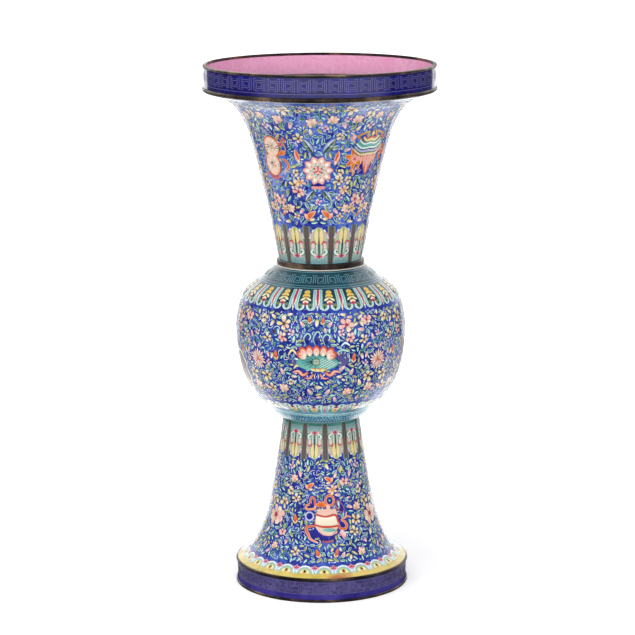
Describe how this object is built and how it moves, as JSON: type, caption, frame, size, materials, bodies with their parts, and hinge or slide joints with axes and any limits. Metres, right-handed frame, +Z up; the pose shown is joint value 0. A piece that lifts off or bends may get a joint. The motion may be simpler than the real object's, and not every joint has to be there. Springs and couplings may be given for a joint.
{
  "type": "beaker vase",
  "caption": "Tall painted enamel beaker vase with a flared trumpet mouth, swelling bulb and spreading foot, trimmed with bare copper.",
  "frame": {"origin": "middle of the base, on the surface that the vase stands on", "axes": "+Z up along the vase's axis; the side shown in the picture faces -Y"},
  "size_m": [0.1764, 0.1764, 0.4],
  "materials": {
    "painted_enamel": "gloss fired enamel, blue ground painted all over with flowers",
    "band_enamel": "gloss fired enamel, cobalt with a pale key fret",
    "collar_enamel": "gloss fired enamel, turquoise with a fine diaper",
    "pink_enamel": "gloss fired enamel, plain pink",
    "dark_copper": "bare copper, darkened with age and rubbed bright on the edges",
    "plain_copper": "plain sheet copper"
  },
  "bodies": {
    "root": {"mouth_lip_wire": "dark_copper", "mouth_band": "band_enamel", "mouth_bead": "dark_copper", "trumpet_neck": "painted_enamel", "neck_sleeve": "plain_copper", "neck_ring": "dark_copper", "bulb": "painted_enamel", "bulb_floor": "pink_enamel", "waist_collar": "collar_enamel", "waist_sleeve": "plain_copper", "foot_cone": "painted_enamel", "foot_edge_bead": "dark_copper", "foot_band": "band_enamel", "foot_rim_wire": "dark_copper"}
  },
  "joints": []
}
